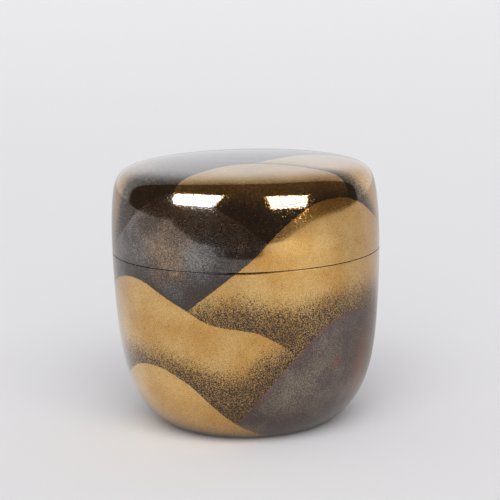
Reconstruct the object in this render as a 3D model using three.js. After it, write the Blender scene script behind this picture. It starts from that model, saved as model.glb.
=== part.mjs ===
// A turned and lacquered tea caddy in the jujube shape: a deep bowl with a thin collar,
// and a domed lid that drops over the collar and meets the bowl in a hairline seam.
// Units are millimetres and +Z is up. The origin is the centre of the foot, at table height.
import * as THREE from "three";

// Driving dimensions of the outside.
const WIDEST_DIAMETER = 66; // across the widest circle, which is on the lid
const SEAM_HEIGHT = 43.2; // of the bowl's shoulder above the table, on which the lid rests
const SEAM_GAP = 0.3; // the hairline that shows between lid and bowl
const WIDEST_ABOVE_SEAM = 3.5; // how far up the lid the widest circle is
const LID_HEIGHT = 22.5; // from the bowl's shoulder to the middle of the lid's dome
const DOME_RISE = 1.8; // how far the lid's gentle crown stands above its shoulder
const WALL_TAPER = 4.1; // how far the wall draws in from the widest circle down to the foot
const LID_LEAN = 1.6; // how far the lid's wall draws in up to the shoulder

// The foot: a narrow ring that the caddy stands on, around a shallow recess.
const FOOT_DIAMETER = 37.8;
const FOOT_RING_WIDTH = 2.4;
const FOOT_RECESS = 0.9;

// Thickness of the turned wood.
const BOWL_WALL = 2.6; // square to the outside, all the way down
const BOWL_FLOOR = 2.8; // between the foot's recess and the inside
const LID_CROWN = 2.2; // at the middle of the lid

// The collar that stands up inside the lid.
const COLLAR_HEIGHT = 7.6; // above the seam
const COLLAR_THICKNESS = 1.1;
const COLLAR_CLEARANCE = 0.3; // all round, between collar and lid
const COLLAR_HEADROOM = 1.2; // straight bore left above the collar

// How square each bend is, across and up: 2 is a circle's, and more is squarer.
const FOOT_BEND = { across: 1.4, up: 7.2 };
const SHOULDER_BEND = { across: 11.7, up: 10 };
const LID_INSIDE_BEND = { across: 8, up: 6 };

// Steps round the axis, and along each turned face.
const STEPS_ROUND = 64;
const STEPS_BOWL_WALL = 18;
const STEPS_BOWL_INSIDE = 16;
const STEPS_LID_WALL = 3;
const STEPS_LID_DOME = 22;
const STEPS_LID_INSIDE = 12;
const FINE_STEPS = 600; // that an outline is measured in before its steps are spread

const widestRadius = WIDEST_DIAMETER / 2;
const footRadius = FOOT_DIAMETER / 2;
const widestHeight = SEAM_HEIGHT + WIDEST_ABOVE_SEAM;
const totalHeight = SEAM_HEIGHT + LID_HEIGHT;
const insideFloor = FOOT_RECESS + BOWL_FLOOR;

// An outline in the half section: a formula from 0 to 1 that gives a radius and a height.
class Outline extends THREE.Curve {
  constructor(pointAt) {
    super();
    this.pointAt = pointAt;
  }
  getPoint(share) {
    return new THREE.Vector2(...this.pointAt(share));
  }
}

// Points along an outline, with half of the steps spread over its length and half over its bends.
function stepped(pointAt, steps) {
  const fine = new Outline(pointAt).getSpacedPoints(FINE_STEPS);
  const headings = fine.slice(1).map((point, i) => point.clone().sub(fine[i]).angle());
  const turned = [0, 0];
  for (let i = 1; i < headings.length; i++) {
    const turn = Math.abs(headings[i] - headings[i - 1]);
    turned.push(turned[i] + Math.min(turn, 2 * Math.PI - turn));
  }
  const effort = turned.map((turn, i) => turn / turned[FINE_STEPS] + i / FINE_STEPS);
  return Array.from({ length: steps + 1 }, (_, step) => {
    const wanted = (2 * step) / steps;
    return fine[step === steps ? FINE_STEPS : effort.findIndex((sum) => sum >= wanted)];
  });
}

// A rounded quarter: how far in from the side and up from the level it has come, each from 0 to 1.
function quarter(share, bend) {
  if (share >= 1) return { inward: 1, up: 1 };
  const angle = (share * Math.PI) / 2;
  return { inward: 1 - Math.cos(angle) ** (2 / bend.across), up: Math.sin(angle) ** (2 / bend.up) };
}

// The outside of the wall at a height from the foot up to the widest circle.
function wallRadius(height) {
  const drop = 1 - height / widestHeight;
  const filled = (1 - drop ** FOOT_BEND.up) ** (1 / FOOT_BEND.across);
  return footRadius + (widestRadius - footRadius - WALL_TAPER * drop ** 2) * filled;
}

function wall(low, high) {
  return (share) => [wallRadius(low + (high - low) * share), low + (high - low) * share];
}

// A leaning wall that rounds a shoulder into a gently crowned top.
function dome(springRadius, low, high, shoulder) {
  return (share) => {
    const { inward, up } = quarter(share, shoulder);
    const radius = (springRadius - LID_LEAN * up ** 2) * (1 - inward);
    const crown = DOME_RISE * (1 - (radius / springRadius) ** 2);
    return [radius, low + (high - DOME_RISE - low) * up + crown];
  };
}

const bowlBore = wallRadius(SEAM_HEIGHT) - BOWL_WALL;
const collarRadius = bowlBore + COLLAR_THICKNESS;
const collarTop = SEAM_HEIGHT + COLLAR_HEIGHT;
const lidBore = collarRadius + COLLAR_CLEARANCE;
const lidRim = SEAM_HEIGHT + SEAM_GAP;
const lidSpringing = collarTop + COLLAR_HEADROOM;
const lidCeiling = totalHeight - LID_CROWN;

// The bowl's inner face, square in from the outside, from the bore at the seam down to the floor.
const bowlOutside = new Outline(wall(0, SEAM_HEIGHT));
function bowlInnerFace(share) {
  const outer = bowlOutside.getPoint(1 - share);
  const upWall = bowlOutside.getTangent(1 - share);
  return [outer.x - BOWL_WALL * upWall.y, Math.max(insideFloor, outer.y + BOWL_WALL * upWall.x)];
}
function bowlInside() {
  const face = stepped(bowlInnerFace, STEPS_BOWL_INSIDE);
  const floorEdge = face.findIndex((point) => point.y <= insideFloor);
  return [...face.slice(0, floorEdge + 1), new THREE.Vector2(0, insideFloor)];
}

// Turns a half section that starts and ends on the axis into a closed solid about +Z.
function turnedSolid(name, section, material) {
  const geometry = new THREE.LatheGeometry(section, STEPS_ROUND);
  geometry.rotateX(Math.PI / 2);
  const mesh = new THREE.Mesh(geometry, material);
  mesh.name = name;
  return mesh;
}

function makeBowl(material) {
  const recessRadius = footRadius - FOOT_RING_WIDTH;
  const section = [
    new THREE.Vector2(0, FOOT_RECESS),
    new THREE.Vector2(recessRadius - FOOT_RECESS, FOOT_RECESS),
    new THREE.Vector2(recessRadius, 0),
    ...stepped(wall(0, SEAM_HEIGHT), STEPS_BOWL_WALL),
    new THREE.Vector2(collarRadius, SEAM_HEIGHT),
    new THREE.Vector2(collarRadius, collarTop),
    new THREE.Vector2(bowlBore, collarTop),
    ...bowlInside(),
  ];
  return turnedSolid("bowl", section, material);
}

function makeLid(material) {
  const outside = dome(widestRadius, widestHeight, totalHeight, SHOULDER_BEND);
  const inside = dome(lidBore, lidSpringing, lidCeiling, LID_INSIDE_BEND);
  const section = [
    ...stepped(inside, STEPS_LID_INSIDE).reverse(),
    new THREE.Vector2(lidBore, lidRim),
    ...stepped(wall(lidRim, widestHeight), STEPS_LID_WALL),
    ...stepped(outside, STEPS_LID_DOME).slice(1),
  ];
  return turnedSolid("lid", section, material);
}

const lacquer = new THREE.MeshStandardMaterial({
  name: "gold_sprinkled_lacquer",
  color: 0xa98650,
  roughness: 0.18,
  metalness: 0.35,
});

const caddy = new THREE.Group();
caddy.add(makeBowl(lacquer), makeLid(lacquer));

export default caddy;
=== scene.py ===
"""A turned tea caddy of black lacquer, with a sprinkled gold design of overlapping hills.

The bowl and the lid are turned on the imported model's sizes. The design is powder under a clear
coat: each hill is dense along its crest and thins out downwards.
"""

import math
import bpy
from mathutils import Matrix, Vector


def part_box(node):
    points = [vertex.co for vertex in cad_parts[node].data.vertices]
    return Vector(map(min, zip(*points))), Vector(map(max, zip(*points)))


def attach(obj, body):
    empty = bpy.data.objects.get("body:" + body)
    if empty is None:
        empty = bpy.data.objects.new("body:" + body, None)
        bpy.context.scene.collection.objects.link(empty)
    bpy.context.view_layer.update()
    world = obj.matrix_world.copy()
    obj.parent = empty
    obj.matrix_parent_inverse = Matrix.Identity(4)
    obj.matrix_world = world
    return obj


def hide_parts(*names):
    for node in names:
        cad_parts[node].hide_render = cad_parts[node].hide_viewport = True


bl_info = {
    "name": "Sprinkled Lacquer Tea Caddy",
    "version": (1, 0, 0),
    "blender": (4, 5, 0),
    "location": "3D View > Sidebar > Tea Caddy",
    "description": "Builds a turned tea caddy with sprinkled gold hills, and a stage to see it on",
    "category": "Add Mesh",
}

from dataclasses import dataclass

import bmesh
import bpy
import numpy as np
from mathutils import Vector

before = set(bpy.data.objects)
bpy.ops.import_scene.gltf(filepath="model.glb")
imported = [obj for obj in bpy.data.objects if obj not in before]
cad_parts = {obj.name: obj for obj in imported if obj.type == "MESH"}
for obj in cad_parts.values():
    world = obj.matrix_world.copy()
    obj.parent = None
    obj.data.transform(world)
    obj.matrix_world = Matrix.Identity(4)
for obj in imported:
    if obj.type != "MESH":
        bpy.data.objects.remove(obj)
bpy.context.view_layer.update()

MM = 0.001
BOWL_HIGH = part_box("bowl")[1]
LID_LOW, LID_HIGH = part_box("lid")

# How square each bend is, across and up: 2 is a circle's, and more is squarer.
FOOT_BEND = (1.4, 7.2)
SHOULDER_BEND = (11.7, 10.0)
LID_INSIDE_BEND = (8.0, 6.0)

FINE_STEPS = 6000  # that a curved stretch is measured in before its steps are spread
ARC_STEPS = 4  # round one eased edge
INSIDE_COARSER = 2  # times the outside's step, because the inside is hardly seen
MERGE_DISTANCE = 1e-6

# Inputs of the Mix node by number, because they share their names.
MIX_FACTOR = 0
MIX_FLOAT_A, MIX_FLOAT_B = 2, 3
MIX_VECTOR_A, MIX_VECTOR_B = 4, 5
MIX_COLOUR_A, MIX_COLOUR_B = 6, 7


@dataclass
class Hill:
    """One hill of powder. Its crest and its fade are turning points of a flowing line.

    On the side they are degrees round from the front, and millimetres along the surface above the
    seam. On the top they are millimetres to the right and to the back of the middle, as seen from
    the side that is the hill's turned degrees round from the front. The powder thins to half on
    the fade line, and again at the height named until.
    """

    name: str
    powder: str
    crest: tuple
    fade: tuple
    dense: float = 1.01
    sparse: float = 0.31
    soften: float = 1.5
    on_top: bool = False
    turned: float = 0.0
    until: float = 200.0


# From the one furthest behind to the one in front.
HILLS = (
    Hill(
        "left_rise",
        "gold",
        crest=((-110, 90), (110, 90)),
        fade=((-110, 90), (-18, 55), (-15, 38), (-14, 33), (-12.5, 29), (-9, 26.5), (0, 25.5), (8, 24),
              (16, 19), (23, 11), (28, 4), (110, 0)),
        dense=0.95,
        sparse=0.17,
        soften=3.5,
        on_top=True,
        turned=90,
        until=39.0,
    ),
    Hill(
        "far_top",
        "gold",
        crest=((-4, -15), (3.7, -8.3), (9, -2), (15, 4.2), (22.7, 5.1), (27.5, 2.1), (33, -0.6), (40, 2),
               (52, 10), (68, 24)),
        fade=((-4, -10.8), (2.7, -9.4), (9.6, -10.8), (16.6, -14.2), (22, -16.2), (27, -16.8), (31, -16.2),
              (36, -14), (42, -10.5), (52, -4), (68, 10)),
        sparse=0.14,
        soften=1.1,
        on_top=True,
    ),
    Hill(
        "near_top",
        "gold",
        crest=((-21, -35), (-17, -27.6), (-14.5, -24.5), (-9.8, -18.6), (-4.2, -12.9), (2.7, -11),
               (9.6, -12.6), (16.6, -16.7), (21.4, -19.2), (24.8, -21.5), (31, -27)),
        fade=((-21, -28), (-15, -27.7), (-10, -29), (-3.4, -30.4), (3.7, -30.8), (11, -29.3), (18, -25.4),
              (24, -21.4), (31, -16)),
        sparse=0.14,
        soften=1.6,
        on_top=True,
    ),
    Hill(
        "gold_back",
        "gold",
        crest=((92, -12), (112, 2), (135, 9.5), (155, 12.5), (172, 11), (190, 4), (206, -5), (222, -15),
               (238, -24), (254, -34)),
        fade=((92, -20), (115, -9), (155, -7), (190, -11), (238, -27), (254, -37)),
    ),
    Hill(
        "bronze_left",
        "bronze",
        crest=((-100, -16), (-86, -6), (-75, 2), (-61, 8), (-48, 14), (-36, 17.4), (-27, 17.9), (-19, 16.6),
               (-6, 12.9), (4, 8.8), (20, 0)),
        fade=((-100, -14), (-75, -2), (-57, 2.5), (-45, 0), (-33, -3), (-23, -1.5), (-14, 1.5), (-4, 3.5),
              (20, 4)),
        dense=0.97,
        sparse=0.14,
        soften=2.2,
    ),
    Hill(
        "gold_right",
        "gold",
        crest=((-38, -15), (-25.4, -9.5), (-9.9, -2.7), (3.5, 3.4), (11.8, 8.2), (20.9, 12.2), (29.5, 14.7),
               (38, 15.5), (46.6, 15.2), (56, 13.5), (67, 10.1), (78.6, 6.4), (92, 0), (108, -10), (125, -23),
               (142, -37)),
        fade=((-38, -14), (-25, -8.5), (-13, -7.5), (-3, -7.1), (7, -8.3), (17.5, -9.3), (29, -8.5),
              (42, -6.9), (56, -7.3), (80, -8), (110, -18), (142, -36)),
        sparse=0.32,
    ),
    Hill(
        "bronze_back",
        "bronze",
        crest=((116, -46), (138, -31), (158, -22), (176, -19), (196, -22), (216, -31), (240, -46)),
        fade=((116, -44), (140, -34), (176, -30), (212, -34), (240, -44)),
        dense=0.97,
        sparse=0.14,
        soften=2.2,
    ),
    Hill(
        "gold_left",
        "gold",
        crest=((-152, -56), (-128, -30), (-105, -19), (-90, -11.5), (-76, -6.2), (-65, -3.8), (-55, -3.1),
               (-46.6, -3.8), (-37.7, -6.1), (-25.4, -9.5), (-18.9, -11.6), (-12, -12.9), (-3.6, -13.6),
               (3, -14.4), (9.4, -16.1), (17.6, -19.4), (27, -25)),
        fade=((-152, -60), (-128, -36), (-95, -26), (-75, -21.5), (-54, -20.3), (-41, -20.8), (-30, -21.9),
              (-20, -23.8), (-9, -25), (-3, -24.6), (4, -22), (9, -20.2), (16, -18.4), (27, -17)),
    ),
    Hill(
        "wine_right",
        "wine",
        crest=((-16, -44), (-4.5, -37.2), (9.5, -27.8), (23.9, -19.3), (31.4, -15.5), (39, -13.3), (47, -12),
               (55, -12.2), (67, -14.5), (82, -20), (98, -29), (112, -39), (126, -50)),
        fade=((-16, -60), (55, -60), (126, -60)),
        dense=0.6,
    ),
    Hill(
        "gold_low",
        "gold",
        crest=((-108, -50), (-92, -38), (-80, -31.5), (-68, -27.6), (-59, -25.2), (-49, -24.1), (-40, -24.5),
               (-32.6, -26.2), (-26, -28.4), (-20, -31.7), (-13.5, -35.6), (-6, -39.5), (1.5, -42.4),
               (8, -44.7), (22, -48)),
        fade=((-108, -47), (-50, -45.5), (22, -47)),
        soften=2.6,
    ),
)
NO_HILL = -60.0  # height of a line in millimetres where its hill isn't
STEEPEST = 30.0  # softened steps above a fade line, beyond which the powder no longer changes
PLAIN_DENSITY = 0.15  # of stray specks where no hill is
CREST_RAGGED = 0.1  # millimetres that single specks stray across a crest


@dataclass
class Cloud:
    """A soft round patch in the powder, which is warmer, cooler or thicker than around it.

    Its place is in degrees round from the front and millimetres above the seam, its size in
    millimetres.
    """

    kind: str
    turn: float
    rise: float
    wide: float
    tall: float
    strength: float = 1.0


CLOUD_KINDS = ("warm", "cool", "thick")
CLOUDS = (
    Cloud("warm", -36, 6.0, 7.5, 6.5),
    Cloud("warm", -31, -1.5, 4.0, 2.0, 0.7),
    Cloud("cool", -17, 5.0, 6.5, 5.0, 0.85),
    Cloud("cool", -62, 7.0, 6.0, 9.0, 0.7),
    Cloud("cool", -24, -3.0, 3.5, 1.6, 0.6),
    Cloud("thick", -26, 3.5, 9.0, 4.5, 0.6),
    Cloud("warm", 4.7, 2.6, 2.6, 1.5, 0.6),
    Cloud("warm", -10, 12.0, 9.0, 5.0, 0.8),
    Cloud("warm", 62, -27.0, 4.5, 9.0, 0.9),
    Cloud("warm", 41, -24.0, 1.6, 1.6, 0.7),
    Cloud("warm", 74, -14.5, 4.0, 1.0, 0.7),
    Cloud("thick", 19, -30.0, 5.5, 5.0),
    Cloud("thick", 35, -23.0, 5.5, 5.0, 0.6),
    Cloud("thick", 47, -33.0, 4.0, 3.0, 0.4),
    Cloud("warm", 150, -27.0, 6.0, 4.0, 0.8),
    Cloud("cool", 180, -28.0, 8.0, 5.0, 0.8),
    Cloud("thick", 105, -38.0, 6.0, 5.0, 0.7),
)


def linear(hex_colour):
    """An sRGB colour such as #c9a24f as the linear RGBA that Blender works in."""
    shares = [int(hex_colour[i : i + 2], 16) / 255 for i in (1, 3, 5)]
    return tuple(s / 12.92 if s <= 0.04045 else ((s + 0.055) / 1.055) ** 2.4 for s in shares) + (1.0,)


def colour_property(name, description, hex_colour):
    """A colour that the panel shows, from its hex value."""
    return bpy.props.FloatVectorProperty(
        name=name,
        description=description,
        default=linear(hex_colour),
        size=4,
        subtype="COLOR",
        min=0,
        max=1,
    )


def length_property(name, description, default):
    """A length that the panel shows, in metres."""
    return bpy.props.FloatProperty(
        name=name,
        description=description,
        default=default,
        min=0,
        precision=5,
        subtype="DISTANCE",
        unit="LENGTH",
    )


class CaddyShape(bpy.types.PropertyGroup):
    """Sizes of the turned bowl and lid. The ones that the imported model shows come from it."""

    widest_radius: length_property("Widest Radius", "Of the widest circle, on the lid", LID_HIGH.x)
    total_height: length_property("Total Height", "To the middle of the lid's dome", LID_HIGH.z)
    lid_rim: length_property("Lid Rim", "Height of the lid's rim", LID_LOW.z)
    collar_top: length_property("Collar Top", "Height of the collar's top inside the lid", BOWL_HIGH.z)
    seam_gap: length_property("Seam Gap", "Hairline between shoulder and lid, which rests there", 0.12 * MM)
    widest_above_seam: length_property("Widest Above Seam", "How far up the widest circle is", 3.38 * MM)
    dome_rise: length_property("Dome Rise", "How far the lid's crown stands above its shoulder", 1.8 * MM)
    wall_taper: length_property("Wall Taper", "How far the wall draws in down to the foot", 4.1 * MM)
    lid_lean: length_property("Lid Lean", "How far the lid's wall draws in up to the shoulder", 1.6 * MM)
    foot_radius: length_property("Foot Radius", "Of the ring that the caddy stands on", 18.9 * MM)
    foot_ring_width: length_property("Foot Ring Width", "Of the ring that the caddy stands on", 2.4 * MM)
    foot_recess: length_property("Foot Recess", "Depth of the recess inside the ring", 0.9 * MM)
    bowl_wall: length_property("Bowl Wall", "Thickness of the bowl", 2.6 * MM)
    bowl_floor: length_property("Bowl Floor", "Thickness of the bowl's floor", 2.8 * MM)
    lid_crown: length_property("Lid Crown", "Thickness of the lid at its middle", 2.2 * MM)
    collar_thickness: length_property("Collar Thickness", "Of the collar inside the lid", 1.1 * MM)
    collar_clearance: length_property("Collar Clearance", "Between collar and lid", 0.3 * MM)
    collar_headroom: length_property("Collar Headroom", "Straight bore above the collar", 1.2 * MM)
    edge_easing: length_property("Edge Easing", "Radius of the eased edges", 0.04 * MM)
    step_along: length_property("Step Along", "Longest face along the section", 0.55 * MM)
    steps_round: bpy.props.IntProperty(
        name="Steps Round", description="Faces round the axis", default=384, min=32
    )


class CaddyFinish(bpy.types.PropertyGroup):
    """Colours and grain of the lacquer and of the powders under its clear coat."""

    lacquer: colour_property("Black Lacquer", "Ground of the whole caddy", "#0f0b0a")
    browned: colour_property("Browned Lacquer", "Clouds in the plain lacquer inside", "#1c1412")
    gold_light: colour_property("Light Gold", "Gold powder where it is brightest", "#e8bc72")
    gold_deep: colour_property("Deep Gold", "Gold powder in its warmer clouds", "#d8a452")
    gold_orange: colour_property("Orange Gold", "Gold powder in a warm patch", "#dd9a38")
    bronze_ground: colour_property("Bronze Ground", "Under the bronze hills' powder", "#1f140f")
    bronze_warm: colour_property("Warm Bronze", "Brown clouds of the bronze hills", "#ad9278")
    bronze_cool: colour_property("Cool Bronze", "Steel-grey clouds of the bronze hills", "#9b9792")
    wine_ground: colour_property("Wine Ground", "Under the wine hill's powder", "#422b35")
    wine_powder: colour_property("Olive Powder", "Clouds of powder on the wine hill", "#968b75")
    wine_edge: colour_property("Wine Edge", "Along the wine hill's crest", "#6c2225")
    rust: colour_property("Rust", "Warm patches on the wine hill", "#8f523c")
    grain: length_property("Grain", "Width of one speck of powder", 0.14 * MM)
    cloud: length_property("Cloud", "Width of a cloud in the powder", 9 * MM)


class CaddyStage(bpy.types.PropertyGroup):
    """The camera, the floor and the light around the caddy."""

    camera_distance: length_property("Camera Distance", "From the point it looks at", 0.42)
    camera_aim: length_property("Camera Aim", "Height of the point it looks at", 42.53 * MM)
    camera_elevation: bpy.props.FloatProperty(
        name="Camera Elevation", description="Above level", default=math.radians(10.79), subtype="ANGLE"
    )
    camera_roll: bpy.props.FloatProperty(
        name="Camera Roll", description="Clockwise", default=math.radians(1.42), subtype="ANGLE"
    )
    camera_shift: bpy.props.FloatProperty(
        name="Camera Shift", description="As a share of the picture's width", default=0.0082, precision=4
    )
    lens: bpy.props.FloatProperty(name="Lens", description="Focal length in millimetres", default=122.0)
    floor_radius: length_property("Floor Radius", "Of the pale floor", 4.0)
    floor_colour: colour_property("Floor", "Pale paper", "#dddddf")
    # Painted light and painted shade on the paper that the coat mirrors: a painted pool of light and painted
    # shade beside the caddy.
    lit_colour: colour_property("Lit Floor", "Pale paper in the light of the right panel", "#fbf8f2")
    shaded_colour: colour_property("Shaded Floor", "Pale paper beside the caddy", "#aaa5a1")
    backdrop_colour: colour_property("Backdrop", "Pale light from behind", "#e3e3e6")
    room_colour: colour_property("Dim Room", "What the coat mirrors from above and in front", "#5a4c43")


def result(node):
    """The first output that is open under a node's settings, which holds its result."""
    return next(socket for socket in node.outputs if socket.enabled)


def add_node(tree, kind, inputs=None, **settings):
    """Adds one node with its settings, and sets its inputs by name or number.

    An input is a value, or else a socket or a node whose result it is linked to.
    """
    made = tree.nodes.new(kind)
    for name, value in settings.items():
        setattr(made, name, value)
    for key, value in (inputs or {}).items():
        if isinstance(value, bpy.types.Node):
            value = result(value)
        if isinstance(value, bpy.types.NodeSocket):
            tree.links.new(value, made.inputs[key])
        else:
            made.inputs[key].default_value = value
    return made


def lengths_along(points):
    """How far each point is along the line through them all."""
    return np.concatenate([[0], np.cumsum(np.hypot(*np.diff(points, axis=0).T))])


def evenly(curve, low, high, step):
    """Points of curve(share) from low to high, spread evenly by length and at most a step apart."""
    shares = np.linspace(low, high, FINE_STEPS)
    points = np.array([curve(share) for share in shares])
    along = lengths_along(points)
    count = max(2, math.ceil(along[-1] / step) + 1)
    wanted = np.linspace(0, along[-1], count)
    return np.column_stack([np.interp(wanted, along, points[:, axis]) for axis in (0, 1)])


def eased_corner(before, corner, after, radius):
    """The points of a small arc that eases one corner of the section."""
    corner = Vector(corner)
    back = (Vector(before) - corner).normalized()
    on = (Vector(after) - corner).normalized()
    half = back.angle(on) / 2
    centre = corner + (back + on).normalized() * (radius / math.sin(half))
    reach = radius / math.tan(half)
    start = corner + back * reach - centre
    end = corner + on * reach - centre
    arms = [start.lerp(end, step / ARC_STEPS).normalized() * radius for step in range(ARC_STEPS + 1)]
    return [tuple(centre + arm) for arm in arms]


def cornered(corners, easing, step):
    """Straight lines through corners, with the inner corners eased and long lines divided."""
    points = [tuple(corners[0])]
    for before, corner, after in zip(corners, corners[1:], corners[2:]):
        points += eased_corner(before, corner, after, easing)
    points.append(tuple(corners[-1]))
    divided = [points[0]]
    for start, end in zip(points, points[1:]):
        count = max(1, math.ceil(math.dist(start, end) / step))
        divided += [tuple(Vector(start).lerp(Vector(end), i / count)) for i in range(1, count + 1)]
    return np.array(divided)


def wall_radius(shape, height):
    """The outside of the wall at a height from the foot up to the widest circle."""
    across, up = FOOT_BEND
    drop = 1 - height / (shape.lid_rim - shape.seam_gap + shape.widest_above_seam)
    filled = (1 - drop**up) ** (1 / across)
    spread = shape.widest_radius - shape.foot_radius - shape.wall_taper * drop**2
    return shape.foot_radius + spread * filled


def dome_point(shape, share, spring_radius, low, high, bend):
    """A leaning wall that rounds a shoulder into a gently crowned top, from the rim to the axis."""
    across, up = bend
    angle = share * math.pi / 2
    inward = 1 if share >= 1 else 1 - math.cos(angle) ** (2 / across)
    climbed = 1 if share >= 1 else math.sin(angle) ** (2 / up)
    radius = (spring_radius - shape.lid_lean * climbed**2) * (1 - inward)
    crown = shape.dome_rise * (1 - (radius / spring_radius) ** 2)
    return radius, low + (high - shape.dome_rise - low) * climbed + crown


def bowl_section(shape):
    """The bowl's half section from the middle of its underside, up the outside and down the inside.

    Returns its points, how far each is along the surface above the seam, and which are plain.
    """
    seam = shape.lid_rim - shape.seam_gap
    bore = wall_radius(shape, seam) - shape.bowl_wall
    collar = bore + shape.collar_thickness
    recess_radius = shape.foot_radius - shape.foot_ring_width
    inside_floor = shape.foot_recess + shape.bowl_floor

    def outside(height):
        return wall_radius(shape, height), height

    def inside(height):
        """Square in from the outside, by the wall's thickness."""
        near = 1e-3 * MM
        slope = (wall_radius(shape, height + near) - wall_radius(shape, height)) / near
        lean = math.hypot(1, slope)
        return wall_radius(shape, height) - shape.bowl_wall / lean, height + shape.bowl_wall * slope / lean

    wall_top = seam - shape.edge_easing
    under = cornered(
        [
            (0, shape.foot_recess),
            (recess_radius - shape.foot_recess, shape.foot_recess),
            (recess_radius, 0),
            (shape.foot_radius, 0),
        ],
        shape.edge_easing,
        shape.step_along,
    )
    wall = evenly(outside, 0, wall_top, shape.step_along)
    neck = cornered(
        [
            wall[-1],
            (wall_radius(shape, seam), seam),
            (collar, seam),
            (collar, shape.collar_top),
            (bore, shape.collar_top),
            (bore, seam),
        ],
        shape.edge_easing,
        shape.step_along,
    )
    # The inside is followed nearly down to the foot, and cut off at the inside's floor.
    inside_step = INSIDE_COARSER * shape.step_along
    well = evenly(inside, wall_top, 0.01 * MM, inside_step)
    well = well[well[:, 1] > inside_floor]
    floor_edge = (well[-1][0] - MM, inside_floor)
    floor = cornered([well[-1], floor_edge, (0, inside_floor)], shape.edge_easing, inside_step)
    points = np.concatenate([under, wall[1:], neck[1:], well[1:], floor[1:]])
    along = lengths_along(points)
    shoulder = len(under) + len(wall) - 2
    rise = along - along[shoulder] - shape.seam_gap / 2
    plain = np.arange(len(points)) > shoulder
    plain[: len(under) - 1] = True
    return points, rise, plain


def lid_section(shape):
    """The lid's half section from the middle of its ceiling, down the inside and up the outside.

    Returns its points, how far each is along the surface above the seam, and which are plain.
    """
    seam = shape.lid_rim - shape.seam_gap
    widest = seam + shape.widest_above_seam
    bore = wall_radius(shape, seam) - shape.bowl_wall + shape.collar_thickness + shape.collar_clearance
    springing = shape.collar_top + shape.collar_headroom
    ceiling = shape.total_height - shape.lid_crown

    def inside(share):
        return dome_point(shape, 1 - share, bore, springing, ceiling, LID_INSIDE_BEND)

    def wall(height):
        return wall_radius(shape, height), height

    def outside(share):
        return dome_point(shape, share, shape.widest_radius, widest, shape.total_height, SHOULDER_BEND)

    under = evenly(inside, 0, 1, INSIDE_COARSER * shape.step_along)
    wall_foot = shape.lid_rim + 2 * shape.edge_easing
    rim = cornered(
        [
            under[-1],
            (bore, shape.lid_rim),
            (wall_radius(shape, shape.lid_rim), shape.lid_rim),
            wall(wall_foot),
        ],
        shape.edge_easing,
        shape.step_along,
    )
    side = evenly(wall, wall_foot, widest, shape.step_along)
    crown = evenly(outside, 0, 1, shape.step_along)
    points = np.concatenate([under, rim[1:], side[1:], crown[1:]])
    along = lengths_along(points)
    edge = len(under) + len(rim) - 2
    rise = along - along[edge] + wall_foot - shape.lid_rim + shape.seam_gap / 2
    plain = np.arange(len(points)) < edge
    return points, rise, plain


def turning_tree():
    """A node tree that turns a half section about the axis, and finishes its outside and inside."""
    tree = bpy.data.node_groups.new("turned_piece", "GeometryNodeTree")
    sockets = tree.interface
    sockets.new_socket(name="Section", in_out="INPUT", socket_type="NodeSocketGeometry")
    sockets.new_socket(name="Steps Round", in_out="INPUT", socket_type="NodeSocketInt")
    sockets.new_socket(name="Merge Distance", in_out="INPUT", socket_type="NodeSocketFloat")
    sockets.new_socket(name="Outside Finish", in_out="INPUT", socket_type="NodeSocketMaterial")
    sockets.new_socket(name="Inside Finish", in_out="INPUT", socket_type="NodeSocketMaterial")
    sockets.new_socket(name="Piece", in_out="OUTPUT", socket_type="NodeSocketGeometry")
    given = add_node(tree, "NodeGroupInput").outputs
    section, steps_round = given["Section"], given["Steps Round"]
    size = add_node(tree, "GeometryNodeAttributeDomainSize", {"Geometry": section})
    rows = size.outputs["Point Count"]
    columns = add_node(tree, "ShaderNodeMath", {0: steps_round, 1: 1.0}, operation="ADD")
    grid = add_node(tree, "GeometryNodeMeshGrid", {"Vertices X": columns, "Vertices Y": rows})
    index = add_node(tree, "GeometryNodeInputIndex")
    row = add_node(tree, "ShaderNodeMath", {0: index, 1: rows}, operation="MODULO")
    column_share = add_node(tree, "ShaderNodeMath", {0: index, 1: rows}, operation="DIVIDE")
    column = add_node(tree, "ShaderNodeMath", {0: column_share}, operation="FLOOR")
    turn = add_node(tree, "ShaderNodeMath", {0: column, 1: steps_round}, operation="DIVIDE")
    angle = add_node(tree, "ShaderNodeMath", {0: turn, 1: 2 * math.pi}, operation="MULTIPLY")
    position = add_node(tree, "GeometryNodeInputPosition")
    sampled = add_node(
        tree,
        "GeometryNodeSampleIndex",
        {"Geometry": section, "Value": position, "Index": row},
        data_type="FLOAT_VECTOR",
    )
    turned = add_node(
        tree, "ShaderNodeVectorRotate", {"Vector": sampled, "Angle": angle}, rotation_type="Z_AXIS"
    )
    geometry = add_node(tree, "GeometryNodeSetPosition", {"Geometry": grid, "Position": turned})
    for name, kind in (("rise", "FLOAT"), ("plain", "BOOLEAN")):
        read = add_node(tree, "GeometryNodeInputNamedAttribute", {"Name": name}, data_type=kind)
        carried = add_node(
            tree,
            "GeometryNodeSampleIndex",
            {"Geometry": section, "Value": read, "Index": row},
            data_type=kind,
        )
        geometry = add_node(
            tree,
            "GeometryNodeStoreNamedAttribute",
            {"Geometry": geometry, "Name": name, "Value": carried},
            data_type=kind,
            domain="POINT",
        )
    merged = add_node(
        tree, "GeometryNodeMergeByDistance", {"Geometry": geometry, "Distance": given["Merge Distance"]}
    )
    smooth = add_node(tree, "GeometryNodeSetShadeSmooth", {"Geometry": merged})
    real = add_node(tree, "GeometryNodeRealizeInstances", {"Geometry": smooth})
    decorated = add_node(
        tree, "GeometryNodeSetMaterial", {"Geometry": real, "Material": given["Outside Finish"]}
    )
    is_plain = add_node(tree, "GeometryNodeInputNamedAttribute", {"Name": "plain"}, data_type="BOOLEAN")
    finished = add_node(
        tree,
        "GeometryNodeSetMaterial",
        {"Geometry": decorated, "Selection": is_plain, "Material": given["Inside Finish"]},
    )
    add_node(tree, "NodeGroupOutput", {"Piece": finished})
    return tree


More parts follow.
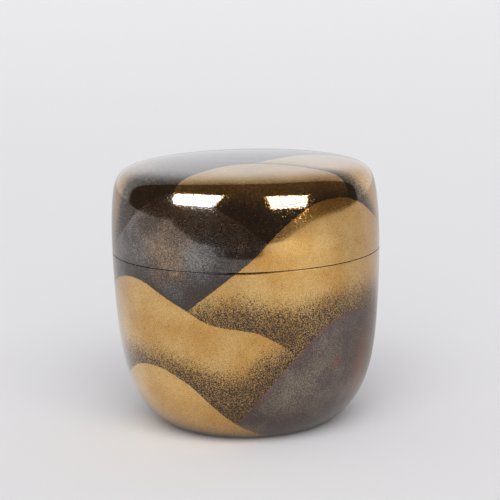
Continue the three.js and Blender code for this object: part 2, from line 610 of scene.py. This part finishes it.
def store(mesh, name, kind, values):
    """Stores one value for each point of a mesh, for the materials or the node tree to read."""
    attribute = mesh.attributes.new(name, kind, "POINT")
    attribute.data.foreach_set("vector" if kind == "FLOAT_VECTOR" else "value", np.ravel(values))


def turn_piece(context, name, section, steps_round):
    """Turns a half section into a smooth closed mesh piece with the two lacquer finishes."""
    points, rise, plain = section
    profile = bpy.data.meshes.new(name + "_section")
    profile.from_pydata([(0, -radius, height) for radius, height in points], [], [])
    store(profile, "rise", "FLOAT", rise / MM)
    store(profile, "plain", "BOOLEAN", plain)
    piece = bpy.data.objects.new(name, profile)
    context.collection.objects.link(piece)
    tree = bpy.data.node_groups.get("turned_piece") or turning_tree()
    modifier = piece.modifiers.new("turned", "NODES")
    modifier.node_group = tree
    wanted = {
        "Steps Round": steps_round,
        "Merge Distance": MERGE_DISTANCE,
        "Outside Finish": sprinkled_lacquer(context),
        "Inside Finish": black_lacquer(context),
    }
    for socket in tree.interface.items_tree:
        if socket.name in wanted:
            modifier[socket.identifier] = wanted[socket.name]
    depsgraph = context.evaluated_depsgraph_get()
    solid = bpy.data.meshes.new_from_object(
        piece.evaluated_get(depsgraph), preserve_all_data_layers=True, depsgraph=depsgraph
    )
    piece.modifiers.remove(modifier)
    piece.data = solid
    bpy.data.meshes.remove(profile)
    shell = bmesh.new()
    shell.from_mesh(solid)
    bmesh.ops.recalc_face_normals(shell, faces=shell.faces)
    shell.to_mesh(solid)
    shell.free()
    solid.name = name
    return piece


def flowing_line(points, at):
    """A smooth line through its turning points, read at other places, and NO_HILL beyond its ends."""
    knots, heights = np.array(points, float).T
    slopes = np.gradient(heights, knots)
    left = np.clip(np.searchsorted(knots, at) - 1, 0, len(knots) - 2)
    width = knots[left + 1] - knots[left]
    share = (at - knots[left]) / width
    rest = 1 - share
    line = (
        heights[left] * (1 + 2 * share) * rest**2
        + heights[left + 1] * (3 - 2 * share) * share**2
        + width * share * rest * (slopes[left] * rest - slopes[left + 1] * share)
    )
    return np.where((at < knots[0]) | (at > knots[-1]), NO_HILL, line)


def hill_places(hill, turn, rise, lid_reach):
    """Where each point is in the hill's own measures: across it, and up it."""
    if hill.on_top:
        aside = np.radians(turn - hill.turned)
        return (lid_reach - rise) * np.sin(aside), (rise - lid_reach) * np.cos(aside)
    middle = (hill.crest[0][0] + hill.crest[-1][0]) / 2
    return middle + (turn - middle + 180) % 360 - 180, rise


def sprinkle_hills(piece, lid_reach):
    """Stores each hill on the piece: depth below its crest, how dense it is and of which powder."""
    mesh = piece.data
    count = len(mesh.vertices)
    places = np.zeros(count * 3)
    mesh.vertices.foreach_get("co", places)
    x, y, _ = places.reshape(-1, 3).T
    turn = np.degrees(np.arctan2(x, -y))
    rise = np.zeros(count)
    mesh.attributes["rise"].data.foreach_get("value", rise)
    for hill in HILLS:
        across, up = hill_places(hill, turn, rise, lid_reach)
        depth = flowing_line(hill.crest, across) - up
        above_fade = np.clip((up - flowing_line(hill.fade, across)) / hill.soften, -STEEPEST, STEEPEST)
        below_end = np.clip((hill.until - up) / hill.soften, -STEEPEST, STEEPEST)
        share = 1 / (1 + np.exp(-above_fade)) / (1 + np.exp(-below_end))
        density = hill.sparse + (hill.dense - hill.sparse) * share
        kinds = [np.full(count, float(hill.powder == kind)) for kind in ("bronze", "wine")]
        store(mesh, hill.name + "_depth", "FLOAT", depth)
        store(mesh, hill.name + "_powder", "FLOAT_VECTOR", np.column_stack([density, *kinds]))
    clouds = np.zeros((count, len(CLOUD_KINDS)))
    for cloud in CLOUDS:
        across = np.radians((turn - cloud.turn + 180) % 360 - 180) * np.hypot(x, y) / MM
        away = (across / cloud.wide) ** 2 + ((rise - cloud.rise) / cloud.tall) ** 2
        clouds[:, CLOUD_KINDS.index(cloud.kind)] += cloud.strength * np.exp(-away)
    store(mesh, "clouds", "FLOAT_VECTOR", np.minimum(clouds, 1))


def layered(tree, colour, *layers):
    """A colour with others laid over it, each by its own share."""
    for share, over in layers:
        colour = add_node(
            tree,
            "ShaderNodeMix",
            {MIX_FACTOR: share, MIX_COLOUR_A: colour, MIX_COLOUR_B: over},
            data_type="RGBA",
        )
    return colour


def soft_clouds(tree, place, scale, detail, low, high):
    """Soft clouds: 0 where a noise is under its low value, and 1 where it is over its high one."""
    noise = add_node(tree, "ShaderNodeTexNoise", {"Vector": place, "Scale": scale, "Detail": detail})
    return add_node(tree, "ShaderNodeMapRange", {"Value": noise, "From Min": low, "From Max": high})


def black_lacquer(context):
    """Plain black lacquer, brushed and polished, for the inside and the underside."""
    made = bpy.data.materials.get("black_lacquer")
    if made:
        return made
    finish = context.scene.caddy_finish
    made = bpy.data.materials.new("black_lacquer")
    made.use_nodes = True
    tree = made.node_tree
    shader = tree.nodes["Principled BSDF"]
    place = add_node(tree, "ShaderNodeTexCoord").outputs["Object"]
    cloud = add_node(tree, "ShaderNodeTexNoise", {"Vector": place, "Scale": 1 / finish.cloud, "Detail": 2.0})
    colour = layered(tree, finish.lacquer, (cloud, finish.browned))
    softness = add_node(tree, "ShaderNodeMapRange", {"Value": cloud, "To Min": 0.12, "To Max": 0.22})
    tree.links.new(result(colour), shader.inputs["Base Color"])
    tree.links.new(result(softness), shader.inputs["Roughness"])
    shader.inputs["IOR"].default_value = 1.52
    return made


def powder_that_shows(tree, chance):
    """Density, bronze share and wine share: front-most last, each hill hides what is behind its crest."""
    ragged = add_node(
        tree, "ShaderNodeMapRange", {"Value": chance, "To Min": -CREST_RAGGED, "To Max": CREST_RAGGED}
    )
    powder = add_node(tree, "ShaderNodeCombineXYZ", {"X": PLAIN_DENSITY})
    for hill in HILLS:
        depth = add_node(tree, "ShaderNodeAttribute", attribute_name=hill.name + "_depth")
        own = add_node(tree, "ShaderNodeAttribute", attribute_name=hill.name + "_powder")
        inside = add_node(
            tree, "ShaderNodeMath", {0: depth.outputs["Fac"], 1: ragged}, operation="GREATER_THAN"
        )
        powder = add_node(
            tree,
            "ShaderNodeMix",
            {MIX_FACTOR: inside, MIX_VECTOR_A: powder, MIX_VECTOR_B: own.outputs["Vector"]},
            data_type="VECTOR",
        )
    return add_node(tree, "ShaderNodeSeparateXYZ", {"Vector": powder}).outputs


def gold_cover(tree, density, hurdle):
    """Gold is single specks, smaller where they are few, over a dust that is finer than the eye can part."""
    over_hurdle = add_node(tree, "ShaderNodeMath", {0: density, 1: hurdle}, operation="SUBTRACT")
    speck = add_node(tree, "ShaderNodeMapRange", {"Value": over_hurdle, "From Max": 0.12, "To Max": 0.78})
    dust = add_node(tree, "ShaderNodeMath", {0: density, 1: 2.0}, operation="POWER")
    return add_node(
        tree, "ShaderNodeMath", {0: dust, 1: 0.26, 2: speck}, operation="MULTIPLY_ADD", use_clamp=True
    )


def dark_cover(tree, density, hurdle, lumps, thick, patchy):
    """The dark hills' powders are finer than the eye can part, and lie in soft clouds."""
    drift = add_node(tree, "ShaderNodeMapRange", {"Value": patchy, "To Min": 0.34, "To Max": 0.8})
    thickness = add_node(tree, "ShaderNodeMath", {0: thick, 1: 0.6, 2: drift}, operation="MULTIPLY_ADD")
    clouded = add_node(tree, "ShaderNodeMath", {0: density, 1: thickness}, operation="MULTIPLY")
    grit = add_node(tree, "ShaderNodeMapRange", {"Value": hurdle, "To Min": 2.0, "To Max": 0.05})
    lumpy = add_node(tree, "ShaderNodeMath", {0: grit, 1: lumps}, operation="MULTIPLY")
    return add_node(tree, "ShaderNodeMath", {0: clouded, 1: lumpy}, operation="MULTIPLY", use_clamp=True)


def gold_colour(tree, finish, density, warm, cloudy):
    """Light gold with deep clouds, and orange in its warm patches and a little where it is thin."""
    thin = add_node(
        tree,
        "ShaderNodeMapRange",
        {"Value": density, "From Min": 0.3, "From Max": 0.95, "To Min": 0.2, "To Max": 0},
    )
    warmth = add_node(tree, "ShaderNodeMath", {0: warm, 1: thin}, operation="ADD", use_clamp=True)
    return layered(tree, finish.gold_light, (cloudy, finish.gold_deep), (warmth, finish.gold_orange))


def bronze_colour(tree, finish, warm, cool, cloudy):
    """Brown, with steel-grey clouds away from its warm patches."""
    cooler = add_node(tree, "ShaderNodeMath", {0: cool, 1: warm}, operation="SUBTRACT")
    coolness = add_node(tree, "ShaderNodeMath", {0: cooler, 1: cloudy}, operation="ADD", use_clamp=True)
    return layered(tree, finish.bronze_warm, (coolness, finish.bronze_cool))


def sprinkled_lacquer(context):
    """Gold, bronze and wine powders sprinkled on wet black lacquer, under clear lacquer polished flush.

    To the eye it is a hard mirror coat over a fine grain, which thins to single specks on black.
    """
    made = bpy.data.materials.get("sprinkled_lacquer")
    if made:
        return made
    finish = context.scene.caddy_finish
    made = bpy.data.materials.new("sprinkled_lacquer")
    made.use_nodes = True
    tree = made.node_tree
    place = add_node(tree, "ShaderNodeTexCoord").outputs["Object"]
    own_clouds = add_node(tree, "ShaderNodeAttribute", attribute_name="clouds").outputs["Vector"]
    warm, cool, thick = add_node(tree, "ShaderNodeSeparateXYZ", {"Vector": own_clouds}).outputs
    cloudy = soft_clouds(tree, place, 1 / finish.cloud, 3.0, 0.38, 0.62)
    patchy = soft_clouds(tree, place, 1.7 / finish.cloud, 2.0, 0.4, 0.65)

    # Each cell is one speck: red decides whether it is there, green how bright it is, and blue
    # how far it strays across a crest. Specks gather in clumps.
    specks = add_node(
        tree, "ShaderNodeTexVoronoi", {"Vector": place, "Scale": 1 / finish.grain}, feature="F1"
    )
    chance = add_node(tree, "ShaderNodeSeparateColor", {"Color": specks.outputs["Color"]}).outputs
    clumps = add_node(
        tree, "ShaderNodeTexNoise", {"Vector": place, "Scale": 0.45 / finish.grain, "Detail": 1.0}
    )
    clump_shift = add_node(
        tree,
        "ShaderNodeMapRange",
        {"Value": clumps, "From Min": 0.3, "From Max": 0.7, "To Min": -0.09, "To Max": 0.19},
    )
    lumps = add_node(
        tree,
        "ShaderNodeMapRange",
        {"Value": clumps, "From Min": 0.35, "From Max": 0.65, "To Min": 0.4, "To Max": 1.6},
    )
    hurdle = add_node(
        tree, "ShaderNodeMath", {0: chance["Red"], 1: 0.9, 2: clump_shift}, operation="MULTIPLY_ADD"
    )

    density, bronze_share, wine_share = powder_that_shows(tree, chance["Blue"])
    dark_share = add_node(tree, "ShaderNodeMath", {0: bronze_share, 1: wine_share}, operation="ADD")
    cover = add_node(
        tree,
        "ShaderNodeMix",
        {
            MIX_FACTOR: dark_share,
            MIX_FLOAT_A: gold_cover(tree, density, hurdle),
            MIX_FLOAT_B: dark_cover(tree, density, hurdle, lumps, thick, patchy),
        },
        data_type="FLOAT",
    )

    rust_share = add_node(
        tree, "ShaderNodeMapRange", {"Value": warm, "From Min": 0.1, "From Max": 1.0, "To Max": 0.8}
    )
    powder = layered(
        tree,
        gold_colour(tree, finish, density, warm, cloudy),
        (bronze_share, bronze_colour(tree, finish, warm, cool, cloudy)),
        (wine_share, layered(tree, finish.wine_powder, (rust_share, finish.rust))),
    )
    own_glint = add_node(
        tree, "ShaderNodeMapRange", {"Value": chance["Green"], "To Min": 0.54, "To Max": 0.96}
    )
    glint = add_node(tree, "ShaderNodeMath", {0: lumps, 1: 0.13, 2: own_glint}, operation="MULTIPLY_ADD")
    bright_powder = add_node(tree, "ShaderNodeVectorMath", {0: powder, "Scale": glint}, operation="SCALE")

    # The wine hill's ground is red along its crest and rusty in patches.
    wine_depth = add_node(tree, "ShaderNodeAttribute", attribute_name="wine_right_depth").outputs["Fac"]
    near_crest = add_node(
        tree,
        "ShaderNodeMapRange",
        {"Value": wine_depth, "From Min": 0.1, "From Max": 1.1, "To Min": 0.75, "To Max": 0.0},
    )
    wine = layered(tree, finish.wine_ground, (rust_share, finish.rust), (near_crest, finish.wine_edge))
    ground = layered(tree, finish.lacquer, (bronze_share, finish.bronze_ground), (wine_share, wine))
    colour = layered(tree, ground, (cover, bright_powder))

    # Between the specks the ground is nearly black, so a thin powder throws back light as metal does.
    metal = add_node(tree, "ShaderNodeMapRange", {"Value": cover, "From Max": 0.15, "To Max": 0.97})
    # Some specks lie a little askew, so they glint where the rest mirror the dark room.
    softness = add_node(
        tree,
        "ShaderNodeMapRange",
        {"Value": chance["Green"], "From Min": 0.85, "To Min": 0.1, "To Max": 0.22},
    )
    shader = tree.nodes["Principled BSDF"]
    tree.links.new(result(colour), shader.inputs["Base Color"])
    tree.links.new(result(metal), shader.inputs["Metallic"])
    tree.links.new(result(softness), shader.inputs["Roughness"])
    shader.inputs["IOR"].default_value = 1.5
    shader.inputs["Specular IOR Level"].default_value = 0.1
    shader.inputs["Coat Weight"].default_value = 1.0
    shader.inputs["Coat Roughness"].default_value = 0.03
    shader.inputs["Coat IOR"].default_value = 1.46
    return made


def lid_top_reach(context):
    """How far the middle of the lid is along the surface above the seam, in millimetres."""
    return lid_section(context.scene.caddy_shape)[1][-1] / MM


class OBJECT_OT_caddy_bowl(bpy.types.Operator):
    """Turn the bowl with its foot, its hollow and its collar, and sprinkle the hills on its outside"""

    bl_idname = "object.caddy_bowl"
    bl_label = "Turn Bowl"

    def execute(self, context):
        shape = context.scene.caddy_shape
        bowl = turn_piece(context, "turned_bowl", bowl_section(shape), shape.steps_round)
        sprinkle_hills(bowl, lid_top_reach(context))
        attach(bowl, "root")
        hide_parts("bowl")
        return {"FINISHED"}


class OBJECT_OT_caddy_lid(bpy.types.Operator):
    """Turn the hollow domed lid, and sprinkle the hills on its outside"""

    bl_idname = "object.caddy_lid"
    bl_label = "Turn Lid"

    def execute(self, context):
        shape = context.scene.caddy_shape
        lid = turn_piece(context, "turned_lid", lid_section(shape), shape.steps_round)
        sprinkle_hills(lid, lid_top_reach(context))
        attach(lid, "root")
        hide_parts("lid")
        return {"FINISHED"}


SENSOR_WIDTH = 36.0  # millimetres


def place_camera(context):
    """The camera at the photograph's viewing angle."""
    stage = context.scene.caddy_stage
    data = bpy.data.cameras.new("camera")
    data.lens = stage.lens
    data.sensor_width = SENSOR_WIDTH
    data.sensor_fit = "HORIZONTAL"
    data.shift_x = stage.camera_shift
    camera = bpy.data.objects.new("camera", data)
    context.collection.objects.link(camera)
    context.scene.camera = camera
    level = stage.camera_distance * math.cos(stage.camera_elevation)
    up = stage.camera_distance * math.sin(stage.camera_elevation)
    camera.location = (0, -level, stage.camera_aim + up)
    camera.rotation_euler = (math.pi / 2 - stage.camera_elevation, 0, 0)
    camera.rotation_euler.rotate_axis("Z", -stage.camera_roll)


def stage_material(name, colour):
    """A plain matt surface of the stage."""
    made = bpy.data.materials.new(name)
    made.use_nodes = True
    shader = made.node_tree.nodes["Principled BSDF"]
    shader.inputs["Base Color"].default_value = colour
    shader.inputs["Roughness"].default_value = 1.0
    shader.inputs["Specular IOR Level"].default_value = 0.0
    return made


def stage_sheet(context, name, corners, material, hidden_from):
    """A flat sheet of the stage through its corners, hidden from some kinds of ray."""
    mesh = bpy.data.meshes.new(name)
    mesh.from_pydata(corners, [], [range(len(corners))])
    sheet = bpy.data.objects.new(name, mesh)
    mesh.materials.append(material)
    context.collection.objects.link(sheet)
    for ray in hidden_from:
        setattr(sheet, "visible_" + ray, False)


def toward(turn, elevation, distance):
    """A point seen from the caddy, in degrees round from the front and degrees above level."""
    turn, elevation = math.radians(turn), math.radians(elevation)
    level = distance * math.cos(elevation)
    return level * math.sin(turn), -level * math.cos(turn), distance * math.sin(elevation)


# Name and colour of each light panel, and its corners as the caddy sees them, in degrees round
# from the front and degrees up.
LIGHT_PANELS = (
    (
        "left_light_panel",
        "#e6effc",
        ((-69, 37), (-45, 43), (-21, 43), (-21, 32), (-23, 22), (-26, 13), (-45, 13.5), (-63, 12.5),
         (-66, 22)),
    ),
    (
        "right_light_panel",
        "#fffaf0",
        ((20, 34.5), (39, 30.7), (58, 24), (55, 14), (53, 7.5), (36, 8.8), (22, 9.5), (20.5, 20)),
    ),
)
PANEL_DISTANCE = 1.5
PANEL_GLOW = 22.0
PANEL_GLOW_ON_FLOOR = 8.0  # by way of the caddy, so its gold tints the floor only faintly

FLOOR_SIDES = 96
FLOOR_DROP = 0.02 * MM  # under the foot
MIRRORED_LIFT = 0.01 * MM  # over the foot's level, so that mirrors show it before the floor

# Outline of the pale paper as the coat mirrors it: it ends a little in front of the caddy.
MIRRORED_FLOOR = (
    (-2.6, -1.2), (-0.8, -0.55), (-0.38, -0.39), (-0.19, -0.33), (-0.05, -0.275), (0.03, -0.285),
    (0.11, -0.36), (0.28, -0.45), (0.6, -0.64), (1.6, -1.03), (2.6, -0.9), (2.2, 0.0), (2.0, 0.6),
    (3.6, 4.0), (-3.6, 4.0), (-2.2, 0.6),
)

BACKDROP_SIDE = (0.05, 1.0, 0.0)  # level, and nearly straight behind the caddy
BACKDROP_EDGE = (0.41, 0.47)  # how far towards that side the backdrop begins, and is whole
BACKDROP_ALL_ROUND = 0.55  # how much of the backdrop's light matt surfaces find on every side

SOFT_LIGHT_WIDTH = math.radians(80)
SOFT_LIGHT_TILT = math.radians(60)
SOFT_LIGHT_ENERGY = 4.0


def panel_material(name, colour):
    """A light panel's glow: full as the coat shows it, and less by way of the caddy onto the floor."""
    made = stage_material(name, colour)
    tree = made.node_tree
    bounces = add_node(tree, "ShaderNodeLightPath").outputs["Diffuse Depth"]
    glow = add_node(
        tree, "ShaderNodeMapRange", {"Value": bounces, "To Min": PANEL_GLOW, "To Max": PANEL_GLOW_ON_FLOOR}
    )
    shader = tree.nodes["Principled BSDF"]
    shader.inputs["Emission Color"].default_value = colour
    tree.links.new(result(glow), shader.inputs["Emission Strength"])
    return made


def light_the_room(context):
    """A pale backdrop behind, a dim room above and in front, and soft light on the floor."""
    stage = context.scene.caddy_stage
    world = bpy.data.worlds.new("room")
    context.scene.world = world
    world.use_nodes = True
    tree = world.node_tree
    toward_sky = add_node(tree, "ShaderNodeTexCoord").outputs["Generated"]
    behind = add_node(
        tree, "ShaderNodeVectorMath", {0: toward_sky, 1: BACKDROP_SIDE}, operation="DOT_PRODUCT"
    )
    begins, whole = BACKDROP_EDGE
    backdrop = add_node(
        tree,
        "ShaderNodeMapRange",
        {"Value": behind, "From Min": begins, "From Max": whole},
        interpolation_type="SMOOTHSTEP",
    )
    height = add_node(tree, "ShaderNodeSeparateXYZ", {"Vector": toward_sky}).outputs["Z"]
    falling_off = add_node(
        tree,
        "ShaderNodeMapRange",
        {"Value": height, "From Min": 0.25, "From Max": 0.85, "To Min": 1, "To Max": 0.4},
    )
    backdrop_share = add_node(tree, "ShaderNodeMath", {0: backdrop, 1: falling_off}, operation="MULTIPLY")
    ray = add_node(tree, "ShaderNodeLightPath").outputs
    shown = add_node(
        tree,
        "ShaderNodeMath",
        {0: ray["Is Diffuse Ray"], 1: BACKDROP_ALL_ROUND, 2: ray["Is Camera Ray"]},
        operation="MULTIPLY_ADD",
    )
    pale = stage.backdrop_colour
    seen = layered(tree, stage.room_colour, (backdrop_share, pale), (shown, pale))
    tree.links.new(result(seen), tree.nodes["Background"].inputs["Color"])
    soft = bpy.data.lights.new("overhead_soft_light", "SUN")
    soft.angle = SOFT_LIGHT_WIDTH
    soft.energy = SOFT_LIGHT_ENERGY
    overhead = bpy.data.objects.new("overhead_soft_light", soft)
    overhead.rotation_euler = (SOFT_LIGHT_TILT, 0, 0)
    overhead.visible_glossy = False
    context.collection.objects.link(overhead)


def mirrored_paper(stage):
    """The pale paper as the coat mirrors it, with light and shade painted on: a painted pool of light in
    front on the right, and painted shade beside the caddy.
    """
    made = stage_material("mirrored_paper", stage.floor_colour)
    tree = made.node_tree
    place = add_node(tree, "ShaderNodeTexCoord").outputs["Object"]
    colour = stage.floor_colour
    # Painted light and shade, one mark a row: painted shade towards the back on the right and on the left, a
    # painted pool of light in front on the right, the caddy's painted shadow behind it on the right, and
    # painted shade close round its foot. A row gives the measure across the paper, the point it is taken
    # from, where it is read from and to, how much painted tone there, and the tone.
    tints = (
        ("DOT_PRODUCT", (0.4, 1, 0), (0, 0.13), (0, 0.5), stage.shaded_colour),
        ("DOT_PRODUCT", (-0.4, 1, 0), (0, 0.3), (0, 0.4), stage.shaded_colour),
        ("DISTANCE", (0.22, -0.32, 0), (0.02, 0.3), (1, 0), stage.lit_colour),
        ("DISTANCE", (0.07, 0.05, 0), (0.02, 0.1), (1, 0), stage.shaded_colour),
        ("DISTANCE", (0, 0, 0), (0.02, 0.045), (0.7, 0), stage.shaded_colour),
    )
    for measure, point, (low, high), (first, last), painted_tone in tints:
        reach = add_node(tree, "ShaderNodeVectorMath", {0: place, 1: point}, operation=measure)
        share = add_node(
            tree,
            "ShaderNodeMapRange",
            {"Value": reach, "From Min": low, "From Max": high, "To Min": first, "To Max": last},
            interpolation_type="SMOOTHSTEP",
        )
        colour = layered(tree, colour, (share, painted_tone))
    tree.links.new(result(colour), tree.nodes["Principled BSDF"].inputs["Base Color"])
    return made


class OBJECT_OT_caddy_stage(bpy.types.Operator):
    """Set up the camera, the pale floor, the light panels and the dim room that the coat mirrors"""

    bl_idname = "object.caddy_stage"
    bl_label = "Set Stage"

    def execute(self, context):
        stage = context.scene.caddy_stage
        place_camera(context)
        turns = [2 * math.pi * i / FLOOR_SIDES for i in range(FLOOR_SIDES)]
        rim = [
            (stage.floor_radius * math.cos(turn), stage.floor_radius * math.sin(turn), -FLOOR_DROP)
            for turn in turns
        ]
        paper = stage_material("pale_paper", stage.floor_colour)
        stage_sheet(context, "floor", rim, paper, ["glossy"])
        outline = [(x, y, MIRRORED_LIFT) for x, y in MIRRORED_FLOOR]
        mirrored = mirrored_paper(stage)
        stage_sheet(context, "mirrored_floor", outline, mirrored, ["camera", "diffuse", "shadow"])
        for name, colour, corners in LIGHT_PANELS:
            outline = [toward(*corner, PANEL_DISTANCE) for corner in corners]
            glowing = panel_material(name, linear(colour))
            stage_sheet(context, name, outline, glowing, ["camera", "diffuse"])
        light_the_room(context)
        context.scene.view_settings.view_transform = "Standard"
        return {"FINISHED"}


class VIEW3D_PT_tea_caddy(bpy.types.Panel):
    """Lists the steps and the sizes and colours"""

    bl_label = "Tea Caddy"
    bl_idname = "VIEW3D_PT_tea_caddy"
    bl_space_type = "VIEW_3D"
    bl_region_type = "UI"
    bl_category = "Tea Caddy"

    def draw(self, context):
        for operator in OPERATORS:
            self.layout.operator(operator.bl_idname)
        for name in SETTINGS:
            settings = getattr(context.scene, name)
            box = self.layout.box()
            for value in settings.__annotations__:
                box.prop(settings, value)


OPERATORS = (OBJECT_OT_caddy_bowl, OBJECT_OT_caddy_lid, OBJECT_OT_caddy_stage)
SETTINGS = {"caddy_shape": CaddyShape, "caddy_finish": CaddyFinish, "caddy_stage": CaddyStage}


def register():
    for settings in SETTINGS.values():
        bpy.utils.register_class(settings)
    for name, settings in SETTINGS.items():
        setattr(bpy.types.Scene, name, bpy.props.PointerProperty(type=settings))
    for operator in OPERATORS:
        bpy.utils.register_class(operator)
    bpy.utils.register_class(VIEW3D_PT_tea_caddy)


def unregister():
    bpy.utils.unregister_class(VIEW3D_PT_tea_caddy)
    for operator in reversed(OPERATORS):
        bpy.utils.unregister_class(operator)
    for name, settings in SETTINGS.items():
        delattr(bpy.types.Scene, name)
        bpy.utils.unregister_class(settings)


def main():
    register()
    bpy.ops.object.caddy_bowl()
    bpy.ops.object.caddy_lid()
    bpy.ops.object.caddy_stage()


if __name__ == "__main__":
    main()
